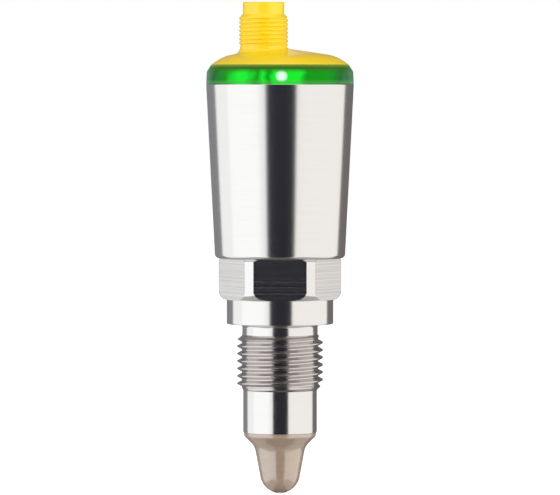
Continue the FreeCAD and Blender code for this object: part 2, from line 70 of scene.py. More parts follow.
# Heights and widths that come from the solid model
FITTING_LOW, FITTING_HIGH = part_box("process_fitting")
SHELL_LOW, SHELL_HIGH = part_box("housing_shell")
RING_LOW, RING_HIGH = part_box("light_ring")
CAP_LOW, CAP_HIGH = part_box("end_cap")
TIP_LOW, TIP_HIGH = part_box("sensor_tip")
INSERT_LOW, INSERT_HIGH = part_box("contact_insert")
SLEEVE_X = (INSERT_LOW.x + INSERT_HIGH.x) / 2


# Properties

def length(name, description, millimetres, lowest=0.0):
    """A size that a user would change, given in millimetres."""
    return FloatProperty(name=name, description=description, default=millimetres * MM,
                         min=lowest * MM, unit="LENGTH", precision=5)


def number(name, description, default, lowest):
    """How many steps, columns or rows."""
    return IntProperty(name=name, description=description, default=default, min=lowest)


def level(name, description, default):
    """A brightness, where 1 is white."""
    return FloatProperty(name=name, description=description, default=default, min=0.0)


def colour(name, description, red, green, blue):
    """A colour that a user would change, in linear values."""
    return FloatVectorProperty(name=name, description=description, subtype="COLOR", size=4,
                               min=0.0, max=1.0, default=(red, green, blue, 1.0))


class FittingSizes(bpy.types.PropertyGroup):
    """Sizes of the turned process fitting."""
    thread_radius: length("Thread radius", "Radius over the process thread's crests", 10.4775)
    thread_pitch: length("Thread pitch", "Rise of the process thread in one turn", 1.814)
    thread_depth: length("Thread depth", "Depth of the process thread's groove", 1.162)
    thread_land: length("Thread land", "Width of the process thread's crests and roots", 0.30)
    thread_fillet: length("Thread fillet", "Round on the process thread's crests and roots", 0.10)
    thread_length: length("Thread length", "Height of the threaded part, lead chamfers included", 13.6)
    crest_height: length("Crest height", "Height of one crest on the -X side", -5.476, lowest=-20)
    neck_radius: length("Neck radius", "Radius of the undercut above the thread", 9.2)
    neck_length: length("Neck length", "Height of the undercut below the collar", 2.6)
    neck_fillet: length("Neck fillet", "Round between the undercut and the collar", 0.9)
    shaft_radius: length("Shaft radius", "Radius of the plain shaft below the thread", 9)
    collar_radius: length("Collar radius", "Radius of the collar that seals on the vessel", 13)
    collar_height: length("Collar height", "Height of the collar", 5.9)
    across_flats: length("Across flats", "Width of the wrench hexagon", 27)
    hexagon_radius: length("Hexagon radius", "Radius that the hexagon's corners are turned to", 14.95)
    hexagon_top: length("Hexagon top", "Height of the hexagon's upper face", 16)
    hexagon_round: length("Hexagon round", "Round under the hexagon's corners", 2.1)
    hexagon_break: length("Hexagon break", "Bevel above the hexagon's corners", 0.4)
    spigot_radius: length("Spigot radius", "Radius of the spigot inside the shell", 13.2)
    chamber_radius: length("Chamber radius", "Radius of the nut's chamber", 10.5)
    chamber_floor: length("Chamber floor", "Height of the chamber's floor", 4)
    stem_radius: length("Stem bore radius", "Radius of the bore for the tip's stem", 5.05)
    tip_bore_radius: length("Tip bore radius", "Radius of the bore that the tip plugs into", 7.05)
    tip_bore_depth: length("Tip bore depth", "Depth of the bore that the tip plugs into", 12.5)
    edge_break: length("Edge break", "Round on the turned edges", 0.25)


class HousingSizes(bpy.types.PropertyGroup):
    """Sizes of the housing shell and the light ring."""
    bottom_radius: length("Bottom radius", "Radius of the shell at its foot", 15.85)
    bore_radius: length("Foot bore", "Radius of the bore that takes the fitting's spigot", 13.25)
    wall: length("Wall", "Wall of the shell", 1.4)
    ledge_height: length("Ledge", "Height of the foot that carries the boards", 5.8)
    rim_radius: length("Rim radius", "Radius of the bore for the light ring", 16.75)
    rim_depth: length("Rim depth", "Depth of the bore for the light ring", 4.5)
    foot_round: length("Foot round", "Round on the shell's lower edge", 1.1)
    top_round: length("Top round", "Round on the shell's upper edge", 0.15)
    ring_draft: length("Ring draft", "How far the ring's side leans in", 0.15)
    ring_shoulder: length("Ring shoulder", "Height of the ring's sloped shoulder", 1.7)
    ring_inset: length("Ring inset", "How far the shoulder comes in at the top", 1.25)
    ring_round: length("Ring round", "Round at the start of the shoulder", 1.1)
    ring_bore: length("Ring bore", "Radius of the ring's bore", 14.2)


class CapSizes(bpy.types.PropertyGroup):
    """Sizes of the end cap and its plug sleeve."""
    edge_radius: length("Edge radius", "Radius of the dome's lower edge", 16.7)
    shoulder_radius: length("Shoulder radius", "Radius where the dome turns down", 14)
    shoulder_height: length("Shoulder height", "Height of that turn above the ring", 2.05)
    crown_height: length("Crown height", "Height of the dome's middle above the ring", 4.2)
    blend: length("Blend", "Softness of the dome's turn", 1.4)
    wall: length("Wall", "Wall of the dome", 2.1)
    skirt_radius: length("Skirt radius", "Radius of the skirt inside the ring", 14.15)
    skirt_wall: length("Skirt wall", "Wall of the skirt", 2.2)
    base_radius: length("Base radius", "Radius of the sleeve below its thread", 5.75)
    foot_fillet: length("Foot fillet", "Largest round between the sleeve and the dome", 1.5)
    thread_radius: length("Thread radius", "Radius over the plug thread's crests", 5.97)
    thread_pitch: length("Thread pitch", "Rise of the plug thread in one turn", 1)
    thread_depth: length("Thread depth", "Depth of the plug thread's groove", 0.36)
    thread_crest: length("Thread crest", "Width of the plug thread's crests", 0.36)
    thread_root: length("Thread root", "Width of the plug thread's roots", 0.16)
    thread_fillet: length("Thread fillet", "Round on the plug thread's crests and roots", 0.12)
    thread_length: length("Thread length", "Height of the plug thread", 7.7)
    nose_radius: length("Nose radius", "Radius of the plain nose above the thread", 5.05)
    nose_length: length("Nose length", "Height of the plain nose", 2.9)
    nose_round: length("Nose round", "Round on the nose's rim", 0.35)
    socket_radius: length("Socket radius", "Radius of the plug socket", 4.3)
    carrier_bore: length("Insert bore", "Radius of the bore for the contact insert", 4.9)
    boss_radius: length("Boss radius", "Radius of the boss inside the cap", 6.4)
    boss_drop: length("Boss drop", "How far the boss hangs below the dome", 3.3)
    key_width: length("Key width", "Width of the socket's key", 1.2)
    key_height: length("Key height", "How far the key stands into the socket", 0.7)
    key_drop: length("Key drop", "How far the key ends below the rim", 2)


class TipSizes(bpy.types.PropertyGroup):
    """Sizes of the plastic sensing tip."""
    shoulder_radius: length("Shoulder radius", "Radius of the tip's shoulder", 8.77)
    shoulder_height: length("Shoulder height", "Height of the straight shoulder", 0.93)
    shoulder_round: length("Shoulder round", "Round under the shoulder", 0.8)
    flare_drop: length("Flare drop", "Height of the flare below the shaft", 3.15)
    flare_round: length("Flare round", "Round between flare and finger", 4)
    finger_radius: length("Finger radius", "Radius of the finger at its root", 5.93)
    finger_drop: length("Finger root", "Depth of the finger's root below the shaft", 4.9)
    finger_angle: FloatProperty(name="Finger angle", description="Half angle of the finger's taper",
                                default=math.radians(10.7), subtype="ANGLE")
    body_radius: length("Body radius", "Radius of the part inside the fitting", 7)
    body_length: length("Body length", "Height of the part inside the fitting", 12.2)
    stem_radius: length("Stem radius", "Radius of the threaded stem", 5)
    cavity_radius: length("Cavity radius", "Radius of the cavity for the electrode", 3.2)
    floor: length("Floor", "Plastic below the cavity", 2)
    cavity_nose: length("Cavity nose", "Bevel at the cavity's end", 1.6)


class MeshDetail(bpy.types.PropertyGroup):
    """How finely the surfaces are divided."""
    flat_steps: number("Flat steps", "Columns across one flat of the hexagon", 30, 4)
    corner_steps: number("Corner steps", "Columns across one corner of the hexagon", 8, 2)
    round_steps: number("Round steps", "Columns round a plain turned piece", 192, 24)
    arc_steps: number("Arc steps", "Points along one rounded corner", 8, 2)
    thread_steps: number("Thread steps", "Points along one round of a thread", 3, 1)
    dome_steps: number("Dome steps", "Rows from the sleeve's foot to the dome's edge", 48, 8)


class Finishes(bpy.types.PropertyGroup):
    """Colours of the surfaces, in linear values."""
    steel: colour("Steel", "Turned stainless steel", 0.86, 0.855, 0.85)
    flat_steel: colour("Flat steel", "Steel of the brushed flats", 0.80, 0.79, 0.78)
    cut_steel: colour("Cut steel", "Steel where the thread is cut", 0.67, 0.642, 0.632)
    ring_glow: colour("Ring glow", "Green of the ring beside the lit lamp", 0.008, 0.84, 0.03)
    ring_deep: colour("Ring deep", "Green of the ring away from the lit lamp", 0.002, 0.30, 0.004)
    # Painted shade: the ring's sides, far from the lit lamp, are drawn darker
    ring_dim: colour("Ring dim", "Green of the ring's far side", 0.006, 0.12, 0.020)
    # Painted reflection: grey green near the ring's sides, standing for the grey surroundings seen at a
    # grazing angle
    ring_side_reflection: colour("Ring end", "Grey green where the light thins out", 0.075, 0.19, 0.11)
    ring_core: colour("Ring core", "Light straight in front of the lit lamp", 0.80, 1.0, 0.90)
    # Painted shade: the ring's sloped shoulder is drawn in a darker olive
    ring_shoulder_shade: colour("Ring rim", "Dark olive of the ring's sloped shoulder", 0.035, 0.13, 0.010)
    # Painted reflection of the yellow cap, in olive, where the ring meets the cap
    ring_cap_reflection: colour("Ring edge", "Olive where the ring meets the cap", 0.20, 0.27, 0.03)
    ring_foot: colour("Ring foot", "Paler green above the shell", 0.11, 0.34, 0.10)
    cap: colour("Cap", "Moulded yellow plastic", 0.96, 0.69, 0.002)
    cap_shade: colour("Cap shade", "Yellow plastic, the warmer patches", 0.96, 0.64, 0.002)
    tip: colour("Tip", "Beige high-temperature plastic", 0.43, 0.315, 0.225)
    insert: colour("Insert", "Black moulded plastic", 0.012, 0.012, 0.013)
    gold: colour("Gold", "Gold-plated contacts", 0.83, 0.62, 0.25)
    board: colour("Board", "Lacquered circuit board", 0.012, 0.12, 0.045)
    flex: colour("Flexible circuit", "Amber film", 0.50, 0.20, 0.03)
    lamp: colour("Lamp", "Clear lamp body", 0.75, 0.92, 0.70)
    carrier: colour("Carrier", "Glass-filled grey plastic", 0.12, 0.125, 0.13)
    tinned: colour("Tinned sheet", "Tinned screening can", 0.72, 0.72, 0.70)
    chip: colour("Chip", "Moulded chip body", 0.018, 0.018, 0.022)
    ferrite: colour("Ferrite", "Pressed ferrite", 0.06, 0.06, 0.068)
    ceramic: colour("Capacitor", "Fired ceramic", 0.42, 0.28, 0.14)
    resistor: colour("Resistor", "Glazed resistor", 0.03, 0.03, 0.04)
    bronze: colour("Bronze", "Rolled spring bronze", 0.72, 0.46, 0.25)
    brass: colour("Brass", "Turned brass", 0.78, 0.60, 0.28)
    insulator: colour("Insulator", "White insulating plastic", 0.80, 0.80, 0.77)
    rubber: colour("Rubber", "Seal rubber", 0.015, 0.015, 0.016)


class StudioSettings(bpy.types.PropertyGroup):
    """Camera, lamps and cards."""
    camera_distance: length("Camera distance", "Distance from the sensor's axis", 1200)
    camera_height: length("Camera height", "Height of the camera above the sealing face", 60.5)
    aim_height: length("Aim height", "Height that the camera looks at", 18.6)
    lens: FloatProperty(name="Lens", description="Focal length", default=316.5, unit="CAMERA")
    room_level: level("Room level", "Even light on plain surfaces", 0.55)
    floor_lift: level("Floor lift", "Added brightness of the floor where it is seen", 0.62)
    left_lamp: level("Left lamp", "Brightness of the left lamp's face", 2.4)
    right_lamp: level("Right lamp", "Brightness of the right lamp's face", 2.75)
    left_wall: level("Left wall", "Brightness of the white wall seen in the steel on the left", 1.12)
    right_wall: colour("Right wall", "Cream wall seen in the steel on the right", 1.0, 0.975, 0.93)
    dark_card: colour("Dark card", "Card behind the camera: the steel's stripe", 0.024, 0.024, 0.032)
    left_card: colour("Left card", "Card behind the sensor: the steel's left edge", 0.24, 0.24, 0.25)
    right_card: colour("Right card", "Card behind the sensor: the steel's right edge", 0.17, 0.155, 0.155)
    low_card: colour("Low card", "Card far below, seen in the lower edges", 0.44, 0.425, 0.41)
    low_strip: colour("Low strip", "Strip over the low card: the lower edges' middle", 0.12, 0.105, 0.095)
    floor: colour("Floor", "Plain pale floor", 0.86, 0.86, 0.86)


# Mesh helpers

def rounded(corners, steps):
    """Points of an outline of (radius, height) corners; a third number rounds a corner by an arc.

    The first and last corners stay as they are.
    """
    points = []
    for index, corner in enumerate(corners):
        here = Vector(corner[:2])
        if len(corner) < 3 or index in (0, len(corners) - 1):
            points.append(here)
            continue
        back = (Vector(corners[index - 1][:2]) - here).normalized()
        ahead = (Vector(corners[index + 1][:2]) - here).normalized()
        half = back.angle(ahead) / 2
        radius = corner[2]
        centre = here + (back + ahead).normalized() * radius / math.sin(half)
        start = here + back * radius / math.tan(half) - centre
        end = here + ahead * radius / math.tan(half) - centre
        sweep = start.angle(end)
        for step in range(steps + 1):
            share = step / steps
            before = math.sin((1 - share) * sweep)
            after = math.sin(share * sweep)
            points.append(centre + (start * before + end * after) / math.sin(sweep))
    return points


def even_angles(count):
    """Angles of evenly spaced columns, once round."""
    return [TURN * index / count for index in range(count + 1)]


def turned_points(outline, angle, axis_x=0.0):
    """An outline of (radius, height) points, stood at an angle round a vertical axis."""
    return [Vector((axis_x + point[0] * math.cos(angle), point[0] * math.sin(angle), point[1]))
            for point in outline]


def swept_mesh(name, angles, section, sharp=30):
    """Closed mesh from one closed section per angle, with bends over so many degrees left sharp.

    Points that meet are welded.
    """
    work = bmesh.new()
    columns = [[work.verts.new(point) for point in section(angle)] for angle in angles]
    for left, right in zip(columns, columns[1:]):
        for index in range(len(left)):
            after = (index + 1) % len(left)
            work.faces.new((left[index], right[index], right[after], left[after]))
    bmesh.ops.remove_doubles(work, verts=work.verts, dist=WELD)
    bmesh.ops.dissolve_degenerate(work, dist=WELD, edges=work.edges)
    bmesh.ops.recalc_face_normals(work, faces=work.faces)
    mesh = bpy.data.meshes.new(name)
    work.to_mesh(mesh)
    work.free()
    mesh.shade_smooth()
    mesh.set_sharp_from_angle(angle=math.radians(sharp))
    return mesh


def turned_mesh(name, outline, detail):
    """Closed mesh of one outline turned round the sensor's axis."""
    return swept_mesh(name, even_angles(detail.round_steps), lambda angle: turned_points(outline, angle))


class Thread:
    """Right-hand thread round an upright axis, run out at 45 degrees to a radius at each end."""

    def __init__(self, sizes, high, crest, end_radii, widths, steps):
        """Its upper end, the height of one crest at angle 0, and the widths of crests and roots."""
        self.high = high
        self.low = high - sizes.thread_length
        self.crest = crest
        self.below, self.above = end_radii
        self.radius = sizes.thread_radius
        self.pitch = sizes.thread_pitch
        crest_width, root_width = widths
        depth, fillet = sizes.thread_depth, sizes.thread_fillet
        rise = rounded([(0.0, 0.0), (0.0, crest_width / 2, fillet),
                        (depth, (self.pitch - root_width) / 2, fillet), (depth, self.pitch / 2)], steps)
        fall = [Vector((point.x, self.pitch - point.y)) for point in reversed(rise[1:-1])]
        # One pitch, from crest to crest, as (depth below the crest, height) points
        self.profile = rise + fall

    def depth_at(self, height):
        """Depth below the crest at a height above one crest."""
        height %= self.pitch
        closed = self.profile + [Vector((0.0, self.pitch))]
        for lower, upper in zip(closed, closed[1:]):
            if height <= upper.y:
                share = (height - lower.y) / max(upper.y - lower.y, WELD)
                return lower.x + (upper.x - lower.x) * share
        return 0.0

    def run_out(self, height):
        """Largest radius that the ends leave at a height."""
        return min(self.radius, self.below + height - self.low, self.above + self.high - height)

    def outline(self, angle):
        """Points up the thread at one angle.

        They follow the helix, so that its edges stay sharp, and those past an end stop at that end.
        """
        first = self.crest + self.pitch * angle / TURN
        first -= self.pitch * (math.ceil((self.crest - self.low) / self.pitch) + 1)
        points = []
        for turn in range(math.ceil((self.high - self.low) / self.pitch) + 3):
            for depth, rise in self.profile:
                height = first + self.pitch * turn + rise
                kept = min(max(height, self.low), self.high)
                if kept != height:
                    depth = self.depth_at(kept - first)
                points.append(Vector((min(self.radius - depth, self.run_out(kept)), kept)))
        return points


def add_object(name, data):
    """Object for a mesh, a lamp or a camera, put in the scene."""
    item = bpy.data.objects.new(name, data)
    bpy.context.scene.collection.objects.link(item)
    return item


def add_piece(name, mesh, materials, slot, *nodes):
    """Object for a finished mesh with its materials, standing for CAD nodes, which it hides; the slot is
    not used.
    """
    for material in materials:
        mesh.materials.append(material)
    piece = add_object(name, mesh)
    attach(piece, "root")
    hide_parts(*nodes)


# Material helpers

class Nodes:
    """The nodes of a material or of the room."""

    def __init__(self, tree):
        self.nodes = tree.nodes
        self.links = tree.links

    def feed(self, socket, value):
        """Gives a socket a value, or what another socket gives out."""
        if isinstance(value, bpy.types.NodeSocket):
            self.links.new(value, socket)
        else:
            socket.default_value = value

    def feed_all(self, node, **values):
        """Feeds a node's sockets by name, with _ for a space."""
        for name, value in values.items():
            self.feed(node.inputs[name.replace("_", " ")], value)
        return node

    def node(self, kind, **values):
        """New node, with its sockets fed by name."""
        return self.feed_all(self.nodes.new(kind), **values)

    def math(self, operation, *values):
        """Math node on one or two values."""
        node = self.nodes.new("ShaderNodeMath")
        node.operation = operation
        for socket, value in zip(node.inputs, values):
            self.feed(socket, value)
        return node.outputs["Value"]

    def seen(self):
        """1 for camera, glossy and transmission rays, and 0 for the rest."""
        path = self.node("ShaderNodeLightPath").outputs
        polished = self.math("MAXIMUM", path["Is Camera Ray"], path["Is Glossy Ray"])
        return self.math("MAXIMUM", polished, path["Is Transmission Ray"])


class Surface(Nodes):
    """A Principled material, built up by its methods."""

    def __init__(self, name, roughness, metallic=0.0):
        self.material = bpy.data.materials.new(name)
        self.material.use_nodes = True
        super().__init__(self.material.node_tree)
        self.shader = self.nodes["Principled BSDF"]
        self.place = self.node("ShaderNodeTexCoord").outputs["Object"]
        self.put(Roughness=roughness, Metallic=metallic)

    def put(self, **values):
        """Feeds the shader's own sockets."""
        self.feed_all(self.shader, **values)
        return self

    def noise(self, across, along, detail=3.0):
        """Noise with so many grains per metre across and along the sensor's axis."""
        scaled = self.node("ShaderNodeMapping", Vector=self.place, Scale=(across, across, along))
        texture = self.node("ShaderNodeTexNoise", Vector=scaled.outputs["Vector"], Scale=1.0, Detail=detail)
        return texture.outputs["Fac"]

    def ramp(self, value, *stops):
        """Colour ramp through (position, colour) stops."""
        node = self.node("ShaderNodeValToRGB", Fac=value)
        elements = node.color_ramp.elements
        while len(elements) < len(stops):
            elements.new(1.0)
        for element, (position, shade) in zip(elements, stops):
            element.position = position
            element.color = shade
        return node.outputs["Color"]

    def fade(self, value, *stops):
        """Ramp of plain levels through (position, level) stops."""
        return self.ramp(value, *((position, (shade, shade, shade, 1)) for position, shade in stops))

    def stretched(self, value, low, high, new_low=0.0, new_high=1.0):
        """Value carried over from one range to another."""
        node = self.node("ShaderNodeMapRange", Value=value, From_Min=low, From_Max=high,
                         To_Min=new_low, To_Max=new_high)
        return node.outputs["Result"]

    def mixed(self, share, first, second):
        """Colour between two, each a colour or a socket."""
        node = self.nodes.new("ShaderNodeMix")
        node.data_type = "RGBA"
        self.feed(node.inputs["Factor"], share)
        colours = [socket for socket in node.inputs if socket.type == "RGBA"]
        for socket, value in zip(colours, (first, second)):
            self.feed(socket, value)
        return next(socket for socket in node.outputs if socket.type == "RGBA")

    def mottled(self, base, spread, across, along):
        """Base colour that varies a little either side of a colour."""
        low = [channel * (1 - spread) for channel in base[:3]] + [1.0]
        high = [min(1.0, channel * (1 + spread)) for channel in base[:3]] + [1.0]
        value = self.noise(across, along)
        return self.put(Base_Color=self.ramp(value, (NOISE_LOW, low), (NOISE_HIGH, high)))

    def bumped(self, depth, across, along, detail=3.0):
        """Fine relief, so many millimetres deep."""
        bump = self.node("ShaderNodeBump", Strength=1.0, Distance=depth * MM,
                         Height=self.noise(across, along, detail))
        return self.put(Normal=bump.outputs["Normal"])

    def streaked(self, smooth, rough, across, along):
        """Roughness that changes from streak to streak."""
        smooth_below, rough_above = 0.42, 0.75
        value = self.noise(across, along)
        return self.put(Roughness=self.stretched(value, smooth_below, rough_above, smooth, rough))

    def brushed(self, amount):
        """Highlights drawn out across the turning marks."""
        tangent = self.node("ShaderNodeTangent")
        tangent.direction_type = "RADIAL"
        tangent.axis = "Z"
        return self.put(Tangent=tangent.outputs["Tangent"], Anisotropic=amount)

    def coated(self, weight, roughness, ior=1.5):
        """Clear gloss over the colour."""
        return self.put(Coat_Weight=weight, Coat_Roughness=roughness, Coat_IOR=ior)


def turned_steel(name, base, roughness, relief):
    """Bright steel with fine turning marks round the axis."""
    steel = Surface(name, roughness, metallic=1.0)
    steel.mottled(base, spread=0.012, across=80, along=2500)
    steel.bumped(relief, across=90, along=9000, detail=4.0)
    return steel.brushed(0.55).material


def brushed_steel(name, base):
    """Steel with level brush marks, some of them rougher than others."""
    steel = Surface(name, roughness=0.15, metallic=1.0)
    steel.mottled(base, spread=0.03, across=10, along=2500)
    steel.streaked(smooth=0.13, rough=0.33, across=8, along=3400)
    steel.bumped(0.001, across=10, along=4000, detail=4.0)
    return steel.brushed(0.3).material


def moulded(name, base, roughness, spread=0.05, grain=2500, relief=0.004):
    """Moulded plastic with a fine even grain."""
    plastic = Surface(name, roughness)
    plastic.mottled(base, spread, grain / 8, grain / 8)
    return plastic.bumped(relief, grain, grain).material


def plated(name, base, roughness, spread=0.06):
    """Plated or rolled metal with faint marks."""
    metal = Surface(name, roughness, metallic=1.0)
    metal.mottled(base, spread, across=400, along=900)
    return metal.bumped(0.002, across=1500, along=5000).material


def finish_nodes(material, *names):
    """Gives solids of the frame a material."""
    for name in names:
        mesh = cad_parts[name].data
        mesh.materials.clear()
        mesh.materials.append(material)


# Pieces

def hexagon_angles(sizes, detail):
    """Columns that fall on the edges between the flats and the turned corners."""
    edge = math.acos(sizes.across_flats / 2 / sizes.hexagon_radius)
    corner = TURN / 12 - edge
    angles = []
    for sector in range(6):
        middle = TURN * sector / 6 + TURN / 12
        for step in range(detail.flat_steps):
            angles.append(middle - edge + 2 * edge * step / detail.flat_steps)
        for step in range(detail.corner_steps):
            angles.append(middle + edge + 2 * corner * step / detail.corner_steps)
    return angles + [angles[0] + TURN]


def process_fitting_mesh(sizes, detail):
    """Shaft, process thread, undercut, collar, wrench hexagon and spigot in one turned piece."""
    bottom = FITTING_LOW.z
    arc_middle = sizes.collar_height + sizes.hexagon_round
    arc_radius = sizes.hexagon_radius - sizes.hexagon_round
    bevel_radius = sizes.hexagon_radius - sizes.hexagon_break
    first_bend = math.asin((sizes.collar_radius - arc_radius) / sizes.hexagon_round)
    bends = 2 * detail.arc_steps
    # The crest's height is given on the -X side, half a turn on from angle 0
    crest = sizes.crest_height - sizes.thread_pitch / 2
    thread = Thread(sizes, -sizes.neck_length, crest, (sizes.shaft_radius, sizes.neck_radius),
                    (sizes.thread_land, sizes.thread_land), detail.thread_steps)
    shaft = rounded([
        (sizes.tip_bore_radius, bottom),
        (sizes.shaft_radius, bottom, sizes.edge_break / 2),
        (sizes.shaft_radius, thread.low),
    ], detail.arc_steps)
    collar = rounded([
        (sizes.neck_radius, thread.high),
        (sizes.neck_radius, 0.0, sizes.neck_fillet),
        (sizes.collar_radius, 0.0, sizes.edge_break),
        (sizes.collar_radius, sizes.collar_height),
    ], detail.arc_steps)
    inside = rounded([
        (sizes.spigot_radius, sizes.hexagon_top),
        (sizes.spigot_radius, FITTING_HIGH.z),
        (sizes.chamber_radius, FITTING_HIGH.z),
        (sizes.chamber_radius, sizes.chamber_floor),
        (sizes.stem_radius, sizes.chamber_floor),
        (sizes.stem_radius, bottom + sizes.tip_bore_depth),
        (sizes.tip_bore_radius, bottom + sizes.tip_bore_depth),
    ], detail.arc_steps)

    def hexagon(angle):
        """Side of the hexagon at an angle: the turned round below, the flat or corner, the bevel."""
        from_flat = (angle - TURN / 12) % (TURN / 6)
        from_flat = min(from_flat, TURN / 6 - from_flat)
        reach = min(sizes.across_flats / 2 / math.cos(from_flat), sizes.hexagon_radius)
        last_bend = math.asin(min(1.0, (reach - arc_radius) / sizes.hexagon_round))
        points = []
        for step in range(bends + 1):
            bend = first_bend + (last_bend - first_bend) * step / bends
            points.append(Vector((arc_radius + sizes.hexagon_round * math.sin(bend),
                                  arc_middle - sizes.hexagon_round * math.cos(bend))))
        points.append(Vector((reach, sizes.hexagon_top - max(0.0, reach - bevel_radius))))
        points.append(Vector((min(reach, bevel_radius), sizes.hexagon_top)))
        return points

    def section(angle):
        outline = shaft + thread.outline(angle) + collar + hexagon(angle) + inside
        return turned_points(outline, angle)

    mesh = swept_mesh("process_fitting_turned", hexagon_angles(sizes, detail), section, sharp=18)
    mark_fitting(mesh, sizes, thread)
    return mesh


def mark_fitting(mesh, sizes, thread):
    """Marks the faces of the hexagon's flats and of the thread for their own steels."""
    near_level = 0.01
    near_flat = 0.02 * MM
    flats = 0
    for face in mesh.polygons:
        height = face.center.z
        reach = math.hypot(face.center.x, face.center.y)
        from_axis = face.center.x * face.normal.x + face.center.y * face.normal.y
        upright = abs(face.normal.z) < near_level
        on_side = upright and sizes.collar_height < height < sizes.hexagon_top
        if on_side and abs(from_axis - sizes.across_flats / 2) < near_flat:
            face.material_index = BRUSHED_FLATS
            flats += 1
        elif thread.low < height < thread.high and reach > sizes.shaft_radius:
            face.material_index = CUT_THREAD
    if not flats:
        raise RuntimeError("the hexagon has no flats")


def housing_shell_mesh(sizes, detail):
    """Tapered tube with a thick foot, bored for the light ring."""
    low = SHELL_LOW.z
    high = SHELL_HIGH.z
    top_radius = SHELL_HIGH.x
    taper = (top_radius - sizes.bottom_radius) / (high - low)
    ledge = low + sizes.ledge_height
    rim_floor = high - sizes.rim_depth
    outline = rounded([
        (sizes.bore_radius, low),
        (sizes.bottom_radius, low, sizes.foot_round),
        (top_radius, high, sizes.top_round),
        (sizes.rim_radius, high),
        (sizes.rim_radius, rim_floor),
        (sizes.bottom_radius + taper * (rim_floor - low) - sizes.wall, rim_floor),
        (sizes.bottom_radius + taper * (ledge - low) - sizes.wall, ledge),
        (sizes.bore_radius, ledge),
    ], detail.arc_steps)
    return turned_mesh("housing_shell_turned", outline, detail)


def light_ring_mesh(sizes, detail):
    """Ring with a softly sloped shoulder and a spigot inside the shell."""
    low = SHELL_HIGH.z
    high = RING_HIGH.z
    outer = SHELL_HIGH.x
    outline = rounded([
        (sizes.ring_bore, RING_LOW.z),
        (sizes.rim_radius, RING_LOW.z),
        (sizes.rim_radius, low),
        (outer, low, sizes.top_round),
        (outer - sizes.ring_draft, high - sizes.ring_shoulder, sizes.ring_round),
        (outer - sizes.ring_inset, high, sizes.top_round),
        (sizes.ring_bore, high),
    ], detail.arc_steps)
    return turned_mesh("light_ring_clear", outline, detail)


def soft_lower(first, second, softness):
    """Smaller of two values, blended where they are close."""
    near = max(softness - abs(first - second), 0.0) / softness
    return min(first, second) - near * near * softness / 4


def end_cap_mesh(sizes, detail):
    """Low dome that flows into the off-centre plug sleeve, with its thread, socket and skirt."""
    seat = RING_HIGH.z
    top = CAP_HIGH.z
    crown = seat + sizes.crown_height
    crown_under = crown - sizes.wall
    boss_low = crown_under - sizes.boss_drop
    crown_slope = (sizes.crown_height - sizes.shoulder_height) / sizes.shoulder_radius
    side_slope = sizes.shoulder_height / (sizes.edge_radius - sizes.shoulder_radius)
    skirt_inner = sizes.skirt_radius - sizes.skirt_wall
    nose_foot = top - sizes.nose_length
    turns_below_nose = 1.6
    crest = nose_foot - turns_below_nose * sizes.thread_pitch
    thread = Thread(sizes, nose_foot, crest, (sizes.base_radius, sizes.nose_radius),
                    (sizes.thread_crest, sizes.thread_root), detail.thread_steps)
    foot_top = thread.low - (sizes.thread_radius - sizes.base_radius)

    def dome_height(x, y):
        radius = math.hypot(x, y)
        top_cone = crown - crown_slope * radius
        side_cone = seat + side_slope * (sizes.edge_radius - radius)
        return soft_lower(top_cone, side_cone, sizes.blend)

    def foot_rise(distance, room):
        """How far the round at the sleeve's foot lifts the dome, at a distance from the sleeve."""
        fillet = min(sizes.foot_fillet, room)
        inside = max(fillet - distance, 0.0)
        return fillet - math.sqrt(fillet * fillet - inside * inside)

    nose = rounded([
        (sizes.nose_radius, nose_foot),
        (sizes.nose_radius, top, sizes.nose_round),
        (sizes.socket_radius, top, sizes.nose_round / 2),
        (sizes.socket_radius, INSERT_HIGH.z),
        (sizes.carrier_bore, INSERT_HIGH.z),
        (sizes.carrier_bore, boss_low),
        (sizes.boss_radius, boss_low),
        (sizes.boss_radius, crown_under),
    ], detail.arc_steps)
    skirt = [
        (skirt_inner, crown_under - sizes.wall / 2),
        (skirt_inner, CAP_LOW.z),
        (sizes.skirt_radius, CAP_LOW.z),
        (sizes.skirt_radius, seat),
    ]

    def section(angle):
        """Skirt, dome from its edge in to the sleeve, then up the sleeve and down its socket."""
        points = turned_points(skirt, angle)
        edge = Vector((sizes.edge_radius * math.cos(angle), sizes.edge_radius * math.sin(angle)))
        foot = Vector((SLEEVE_X + sizes.base_radius * math.cos(angle),
                       sizes.base_radius * math.sin(angle)))
        for step in range(detail.dome_steps + 1):
            # Rows lie closer together at both ends
            share = 0.5 - 0.5 * math.cos(math.pi * step / detail.dome_steps)
            spot = edge.lerp(foot, share)
            rise = foot_rise((spot - foot).length, foot_top - dome_height(*foot))
            points.append(Vector((spot.x, spot.y, dome_height(*spot) + rise)))
        return points + turned_points(thread.outline(angle) + nose, angle, SLEEVE_X)

    mesh = swept_mesh("end_cap_moulded", even_angles(detail.round_steps), section, sharp=40)
    add_key(mesh, sizes, top)
    return mesh


def add_key(mesh, sizes, top):
    """Key on the +Y side of the plug socket, added to the cap's mesh."""
    half = sizes.key_width / 2
    low = (SLEEVE_X - half, sizes.socket_radius - sizes.key_height, INSERT_HIGH.z)
    high = (SLEEVE_X + half, sizes.socket_radius + sizes.key_height / 2, top - sizes.key_drop)
    work = bmesh.new()
    work.from_mesh(mesh)
    made = bmesh.ops.create_cube(work, size=1.0)
    for vertex in made["verts"]:
        for axis in range(3):
            vertex.co[axis] = low[axis] if vertex.co[axis] < 0 else high[axis]
    work.to_mesh(mesh)
    work.free()


